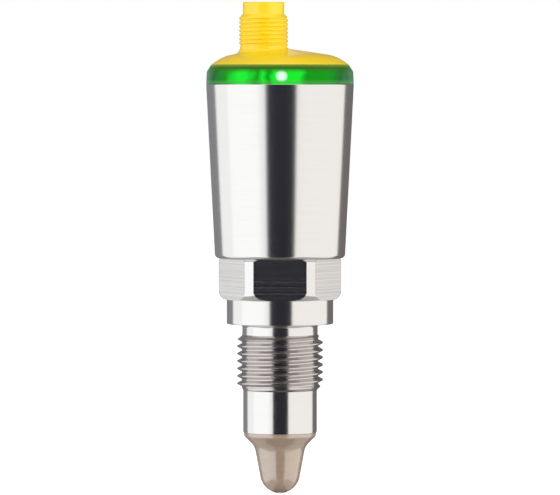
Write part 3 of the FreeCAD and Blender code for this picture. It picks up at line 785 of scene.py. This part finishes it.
def sensor_tip_mesh(sizes, detail):
    """Plastic probe: shoulder, flare, tapered finger with a ball end, and the hollow stem."""
    seat = FITTING_LOW.z
    low = TIP_LOW.z
    slope = math.tan(sizes.finger_angle)
    root = seat - sizes.finger_drop
    end_radius = sizes.finger_radius + slope * (low - root)
    ball = math.cos(sizes.finger_angle) * end_radius / (1 - math.sin(sizes.finger_angle))
    flare_top = seat - sizes.shoulder_height
    flare_low = seat - sizes.flare_drop
    flare_end = sizes.shoulder_radius - (flare_top - flare_low)
    finger_there = sizes.finger_radius + slope * (flare_low - root)
    corner_low = flare_low - (flare_end - finger_there) / (1 + slope)
    corner_radius = sizes.finger_radius + slope * (corner_low - root)
    body_top = seat + sizes.body_length
    bends = 3 * detail.arc_steps
    end = []
    for step in range(bends + 1):
        bend = (math.pi / 2 - sizes.finger_angle) * step / bends
        end.append(Vector((ball * math.sin(bend), low + ball * (1 - math.cos(bend)))))
    side = rounded([
        tuple(end[-1]),
        (corner_radius, corner_low, sizes.flare_round),
        (sizes.shoulder_radius, flare_top, sizes.shoulder_round),
        (sizes.shoulder_radius, seat),
        (sizes.body_radius, seat),
        (sizes.body_radius, body_top),
        (sizes.stem_radius, body_top),
        (sizes.stem_radius, TIP_HIGH.z),
        (sizes.cavity_radius, TIP_HIGH.z),
        (sizes.cavity_radius, low + sizes.floor + sizes.cavity_nose),
        (sizes.cavity_radius - sizes.cavity_nose, low + sizes.floor),
        (0.0, low + sizes.floor),
    ], 2 * detail.arc_steps)
    return turned_mesh("sensor_tip_turned", end[:-1] + side, detail)


# Materials of the outer pieces

def ring_material(finishes):
    """Lit green plastic, its lamp's light painted on as glow: a white core before the front lamp, deep
    green beyond, painted shade in olive on the shoulder and a painted reflection of the yellow cap at its
    top edge.
    """
    glow = Surface("ring_lit_green", 0.22)
    apart = glow.node("ShaderNodeSeparateXYZ", Vector=glow.place).outputs
    angle = glow.math("ARCTAN2", apart["Y"], apart["X"])
    # Share of the ring's height, from 0 above the shell to 1 below the cap
    height = glow.stretched(apart["Z"], SHELL_HIGH.z, RING_HIGH.z)
    # Share of a turn from the back, +Y, so that the front is at 0.5
    turn = glow.math("FRACT", glow.math("ADD", glow.math("DIVIDE", angle, TURN), 1.75))
    uneven = glow.math("SUBTRACT", glow.noise(across=260, along=420, detail=1.0), 0.5)
    waver = glow.math("MULTIPLY", uneven, 0.034)
    green = green_round_the_ring(glow, glow.math("ADD", turn, waver), finishes)
    lit = glow.mixed(lamp_core(glow, turn, height, waver), green, finishes.ring_core)
    foot = glow.fade(height, (0.0, 0.0), (0.08, 0.55), (0.24, 0.0))
    # Painted shade on the sloped shoulder, in darker olive, and a painted reflection of the yellow cap
    # where the ring meets it
    shoulder = glow.fade(height, (0.58, 0.0), (0.80, 1.0))
    rim = glow.ramp(height, (0.86, finishes.ring_shoulder_shade), (0.97, finishes.ring_cap_reflection))
    shown = glow.mixed(shoulder, glow.mixed(foot, lit, finishes.ring_foot), rim)
    glow.put(Emission_Color=shown, Emission_Strength=1.0)
    glow.put(Specular_IOR_Level=0.07, Sheen_Weight=0.25, Sheen_Roughness=0.2)
    glow.mottled((0.001, 0.02, 0.002), spread=0.3, across=900, along=900)
    return glow.bumped(0.002, across=1200, along=1200).material


def green_round_the_ring(glow, turn, finishes):
    """Green glow by the share of a turn: bright round the front, with two dark gaps on the lamp's left
    between painted reflections of the lamp; painted shade and painted grey reflections towards the sides.
    """
    dim, end, deep, bright = finishes.ring_dim, finishes.ring_side_reflection, finishes.ring_deep, finishes.ring_glow
    return glow.ramp(turn, (0.25, dim), (0.288, end), (0.33, dim), (0.37, deep),
                     (0.405, bright), (0.425, bright), (0.446, deep), (0.461, bright), (0.478, deep),
                     (0.490, bright), (0.545, bright), (0.565, deep), (0.61, deep),
                     (0.655, dim), (0.70, end), (0.75, dim))


def lamp_core(glow, turn, height, waver):
    """1 in the middle of the lit lamp's oval core, and 0 outside it; the waver breaks its edge."""
    middle_turn, half_width = 0.503, 0.0142
    middle_height, half_height = 0.42, 0.32
    edge_waver = 9.0
    sideways = glow.math("DIVIDE", glow.math("SUBTRACT", turn, middle_turn), half_width)
    upward = glow.math("DIVIDE", glow.math("SUBTRACT", height, middle_height), half_height)
    reach = glow.math("ADD", glow.math("POWER", sideways, 2.0), glow.math("POWER", upward, 2.0))
    reach = glow.math("ADD", reach, glow.math("MULTIPLY", waver, edge_waver))
    return glow.fade(reach, (0.0, 1.0), (0.28, 0.9), (1.0, 0.0))


def cap_material(finishes):
    """Half-gloss yellow plastic with warmer patches."""
    plastic = Surface("cap_yellow_plastic", 0.32).put(IOR=1.6)
    patches = plastic.noise(across=120, along=120)
    plastic.put(Base_Color=plastic.ramp(patches, (0.35, finishes.cap), (0.75, finishes.cap_shade)))
    plastic.bumped(0.005, across=2500, along=2500)
    return plastic.coated(weight=0.2, roughness=0.2).material


def tip_material(finishes):
    """Turned beige plastic, polished by use, with faint turning marks."""
    plastic = Surface("tip_beige_plastic", 0.24).put(IOR=1.8)
    plastic.mottled(finishes.tip, spread=0.06, across=300, along=1200)
    plastic.bumped(0.003, across=150, along=4000)
    return plastic.coated(weight=1.0, roughness=0.15, ior=2.4).material


# Operators

class AddProcessFitting(bpy.types.Operator):
    """Adds the turned fitting with its process thread, collar and wrench hexagon"""
    bl_idname = "levelswitch.add_process_fitting"
    bl_label = "Process fitting"

    def execute(self, context):
        scene = context.scene
        finishes = scene.switch_finishes
        mesh = process_fitting_mesh(scene.switch_fitting, scene.switch_detail)
        steels = [
            turned_steel("fitting_turned_steel", finishes.steel, 0.13, relief=0.0012),
            brushed_steel("fitting_brushed_flats", finishes.flat_steel),
            turned_steel("fitting_cut_thread", finishes.cut_steel, 0.17, relief=0.002),
        ]
        add_piece("fitting_body", mesh, steels, "fitting_steel", "process_fitting")
        return {"FINISHED"}


class AddHousing(bpy.types.Operator):
    """Adds the tapered steel shell"""
    bl_idname = "levelswitch.add_housing"
    bl_label = "Housing shell"

    def execute(self, context):
        scene = context.scene
        mesh = housing_shell_mesh(scene.switch_housing, scene.switch_detail)
        steel = turned_steel("shell_turned_steel", scene.switch_finishes.steel, 0.14, relief=0.0008)
        add_piece("shell_body", mesh, [steel], "shell_steel", "housing_shell")
        return {"FINISHED"}


class AddLightRing(bpy.types.Operator):
    """Adds the lit green ring"""
    bl_idname = "levelswitch.add_light_ring"
    bl_label = "Light ring"

    def execute(self, context):
        scene = context.scene
        mesh = light_ring_mesh(scene.switch_housing, scene.switch_detail)
        add_piece("ring_body", mesh, [ring_material(scene.switch_finishes)], "ring_green", "light_ring")
        return {"FINISHED"}


class AddEndCap(bpy.types.Operator):
    """Adds the yellow cap with its threaded plug sleeve"""
    bl_idname = "levelswitch.add_end_cap"
    bl_label = "End cap"

    def execute(self, context):
        scene = context.scene
        mesh = end_cap_mesh(scene.switch_cap, scene.switch_detail)
        add_piece("cap_body", mesh, [cap_material(scene.switch_finishes)], "cap_yellow", "end_cap")
        return {"FINISHED"}


class AddSensorTip(bpy.types.Operator):
    """Adds the beige sensing tip"""
    bl_idname = "levelswitch.add_sensor_tip"
    bl_label = "Sensing tip"

    def execute(self, context):
        scene = context.scene
        mesh = sensor_tip_mesh(scene.switch_tip, scene.switch_detail)
        add_piece("tip_body", mesh, [tip_material(scene.switch_finishes)], "tip_plastic", "sensor_tip")
        return {"FINISHED"}


class FinishPlug(bpy.types.Operator):
    """Gives the plug's insert and contacts their finishes"""
    bl_idname = "levelswitch.finish_plug"
    bl_label = "Plug insert and contacts"

    def execute(self, context):
        finishes = context.scene.switch_finishes
        finish_nodes(moulded("insert_black_plastic", finishes.insert, 0.45), "contact_insert")
        finish_nodes(plated("contact_gold_plate", finishes.gold, 0.22), "plug_contacts", "electrode_socket")
        return {"FINISHED"}


class FinishElectronics(bpy.types.Operator):
    """Gives the boards and what is soldered to them their finishes"""
    bl_idname = "levelswitch.finish_electronics"
    bl_label = "Boards and their parts"

    def execute(self, context):
        finishes = context.scene.switch_finishes
        board = moulded("board_green_lacquer", finishes.board, 0.30, spread=0.25, grain=1600)
        finish_nodes(board, "connector_board", "led_board", "main_board")
        finish_nodes(moulded("flex_amber_film", finishes.flex, 0.25, spread=0.15), "flex_link")
        finish_nodes(moulded("lamp_clear_plastic", finishes.lamp, 0.15), "leds")
        finish_nodes(moulded("carrier_grey_plastic", finishes.carrier, 0.55, spread=0.12), "board_carrier")
        finish_nodes(plated("can_tinned_sheet", finishes.tinned, 0.30), "screening_can")
        chip = moulded("chip_black_plastic", finishes.chip, 0.50)
        finish_nodes(chip, "controller_chip", "regulator_chip")
        finish_nodes(moulded("choke_ferrite", finishes.ferrite, 0.60, spread=0.2), "inductor")
        finish_nodes(moulded("capacitor_ceramic", finishes.ceramic, 0.45, spread=0.15), "capacitors")
        finish_nodes(moulded("resistor_glaze", finishes.resistor, 0.30, spread=0.15), "resistors")
        return {"FINISHED"}


class FinishElectrodes(bpy.types.Operator):
    """Gives the electrodes, springs and fasteners inside the fitting their finishes"""
    bl_idname = "levelswitch.finish_electrodes"
    bl_label = "Electrodes, springs and fasteners"

    def execute(self, context):
        finishes = context.scene.switch_finishes
        brass = plated("electrode_turned_brass", finishes.brass, 0.28)
        finish_nodes(brass, "measuring_electrode", "guard_tube")
        bronze = plated("spring_rolled_bronze", finishes.bronze, 0.32)
        finish_nodes(bronze, "guard_clip", "ground_spring")
        insulator = moulded("insulator_white_plastic", finishes.insulator, 0.50, spread=0.04)
        finish_nodes(insulator, "insulating_sleeve")
        fastener = turned_steel("fastener_plain_steel", finishes.steel, 0.30, relief=0.002)
        finish_nodes(fastener, "spring_washer", "tip_nut")
        return {"FINISHED"}


class FinishSeals(bpy.types.Operator):
    """Gives the seal rings their rubber"""
    bl_idname = "levelswitch.finish_seals"
    bl_label = "Seals"

    def execute(self, context):
        rubber = moulded("seal_black_rubber", context.scene.switch_finishes.rubber, 0.65,
                         spread=0.15, grain=1800, relief=0.008)
        finish_nodes(rubber, "tip_seal", "shell_seal", "ring_seal", "cap_seal", "insert_seal")
        return {"FINISHED"}


# Stage

def build_room(settings):
    """White round the object where it is seen, and an even light on plain surfaces."""
    world = bpy.data.worlds.new("room")
    bpy.context.scene.world = world
    world.use_nodes = True
    room = Nodes(world.node_tree)
    plain = room.feed_all(room.nodes["Background"], Color=WHITE, Strength=settings.room_level)
    white = room.node("ShaderNodeBackground", Color=WHITE, Strength=1.0)
    mix = room.node("ShaderNodeMixShader", Fac=room.seen())
    room.feed(mix.inputs[1], plain.outputs["Background"])
    room.feed(mix.inputs[2], white.outputs["Background"])
    room.feed_all(room.nodes["World Output"], Surface=mix.outputs["Shader"])


def plane(name, centre, across, up):
    """Flat rectangle with half-sides across and up, put in the scene."""
    work = bmesh.new()
    corners = [(-1, -1), (1, -1), (1, 1), (-1, 1)]
    centre, across, up = Vector(centre), Vector(across), Vector(up)
    work.faces.new([work.verts.new(centre + across * x + up * y) for x, y in corners])
    mesh = bpy.data.meshes.new(name)
    work.to_mesh(mesh)
    work.free()
    card = add_object(name, mesh)
    return card


def add_card(name, centre, across, up, shade, brightness=1.0):
    """Card that only polished surfaces see."""
    card = plane(name, centre, across, up)
    material = bpy.data.materials.new(name)
    material.use_nodes = True
    plain = Nodes(material.node_tree)
    plain.nodes.remove(plain.nodes["Principled BSDF"])
    glow = plain.node("ShaderNodeEmission", Color=shade, Strength=brightness)
    plain.feed_all(plain.nodes["Material Output"], Surface=glow.outputs["Emission"])
    card.data.materials.append(material)
    card.visible_camera = False
    card.visible_diffuse = False
    card.visible_shadow = False
    card.visible_transmission = False


def add_cards(settings):
    """Cards and walls that the polished surfaces see; places and half-sides are in metres."""
    card_across = (0.54, 0, 0)
    card_up = (0, 0, 2.5)
    wall_up = (0, 0, 1.3)
    aside = 0.56
    behind = 0.7
    add_card("dark_card", (0.05, -1.5, 0), (0.67, 0, 0), card_up, settings.dark_card)
    add_card("left_card", (-aside, behind, 0), card_across, card_up, settings.left_card)
    add_card("right_card", (aside, behind, 0), card_across, card_up, settings.right_card)
    add_card("low_card", (0, 0, -0.40), (0.5, 0, 0), (0, 0.5, 0), settings.low_card)
    add_card("low_strip", (0, 0.1, -0.39), (0.14, 0, 0), (0, 0.6, 0), settings.low_strip)
    add_card("left_wall", (-0.80, -0.75, 0.3), (0.18, 0.75, 0), wall_up, WHITE, settings.left_wall)
    add_card("right_wall", (0.91, -0.4, 0.3), (0.19, 1.1, 0), wall_up, settings.right_wall)


def add_floor(settings):
    """Plain pale floor under the tip: it is seen white, with the object's shadow."""
    half = 3.0
    below_tip = 0.05 * MM
    floor = plane("floor", (0, 0, TIP_LOW.z - below_tip), (half, 0, 0), (0, half, 0))
    pale = Surface("floor_pale", 0.9).put(Base_Color=settings.floor, Specular_IOR_Level=0.0)
    lift = pale.math("MULTIPLY", pale.seen(), settings.floor_lift)
    pale.put(Emission_Color=WHITE, Emission_Strength=lift)
    floor.data.materials.append(pale.material)
    floor.visible_glossy = False


def aim(item, place, target):
    """Puts a lamp or a camera in its place and turns it to a target."""
    item.location = place
    item.rotation_euler = (target - place).to_track_quat("-Z", "Y").to_euler()


def add_lamp(name, side, brightness):
    """Soft lamp before the object, so far to a side; polished surfaces see the walls instead."""
    width, height = 0.9, 1.1
    before, above = 0.5, 0.25
    light = bpy.data.lights.new(name, "AREA")
    light.shape = "RECTANGLE"
    light.size = width
    light.size_y = height
    light.energy = brightness * math.pi * width * height
    lamp = add_object(name, light)
    aim(lamp, Vector((side, -before, above)), Vector((0, 0, 0)))
    lamp.visible_camera = False
    lamp.visible_glossy = False


def add_camera(settings):
    """Long lens at the light ring's height, tilted a little down."""
    data = bpy.data.cameras.new("camera")
    data.lens = settings.lens
    data.sensor_width = 36.0
    data.clip_end = 20.0
    camera = add_object("camera", data)
    place = Vector((0, -settings.camera_distance, settings.camera_height))
    aim(camera, place, Vector((0, 0, settings.aim_height)))
    bpy.context.scene.camera = camera


class AddStage(bpy.types.Operator):
    """Adds the floor, the room, the cards, the lamps and the camera"""
    bl_idname = "levelswitch.add_stage"
    bl_label = "Stage"

    def execute(self, context):
        settings = context.scene.switch_studio
        context.scene.view_settings.view_transform = "Standard"
        build_room(settings)
        add_floor(settings)
        add_cards(settings)
        add_lamp("left_lamp", -0.9, settings.left_lamp)
        add_lamp("right_lamp", 0.9, settings.right_lamp)
        add_camera(settings)
        return {"FINISHED"}


class LevelSwitchPanel(bpy.types.Panel):
    """Lists the sizes, the finishes and the steps"""
    bl_idname = "VIEW3D_PT_level_switch"
    bl_label = "Level Switch"
    bl_space_type = "VIEW_3D"
    bl_region_type = "UI"
    bl_category = "Level Switch"

    def draw(self, context):
        for step in STEPS:
            self.layout.operator(step.bl_idname)
        for name, group in GROUPS.items():
            box = self.layout.box()
            box.label(text=group.__doc__)
            settings = getattr(context.scene, name)
            for field in group.__annotations__:
                box.prop(settings, field)


GROUPS = {
    "switch_fitting": FittingSizes,
    "switch_housing": HousingSizes,
    "switch_cap": CapSizes,
    "switch_tip": TipSizes,
    "switch_detail": MeshDetail,
    "switch_finishes": Finishes,
    "switch_studio": StudioSettings,
}

STEPS = (
    AddProcessFitting,
    AddHousing,
    AddLightRing,
    AddEndCap,
    AddSensorTip,
    FinishPlug,
    FinishElectronics,
    FinishElectrodes,
    FinishSeals,
    AddStage,
)


def register():
    for name, group in GROUPS.items():
        bpy.utils.register_class(group)
        setattr(bpy.types.Scene, name, PointerProperty(type=group))
    for step in STEPS:
        bpy.utils.register_class(step)
    bpy.utils.register_class(LevelSwitchPanel)


def unregister():
    bpy.utils.unregister_class(LevelSwitchPanel)
    for step in reversed(STEPS):
        bpy.utils.unregister_class(step)
    for name, group in reversed(GROUPS.items()):
        delattr(bpy.types.Scene, name)
        bpy.utils.unregister_class(group)


def main():
    register()
    bpy.ops.levelswitch.add_process_fitting()
    bpy.ops.levelswitch.add_housing()
    bpy.ops.levelswitch.add_light_ring()
    bpy.ops.levelswitch.add_end_cap()
    bpy.ops.levelswitch.add_sensor_tip()
    bpy.ops.levelswitch.finish_plug()
    bpy.ops.levelswitch.finish_electronics()
    bpy.ops.levelswitch.finish_electrodes()
    bpy.ops.levelswitch.finish_seals()
    bpy.ops.levelswitch.add_stage()


if __name__ == "__main__":
    main()
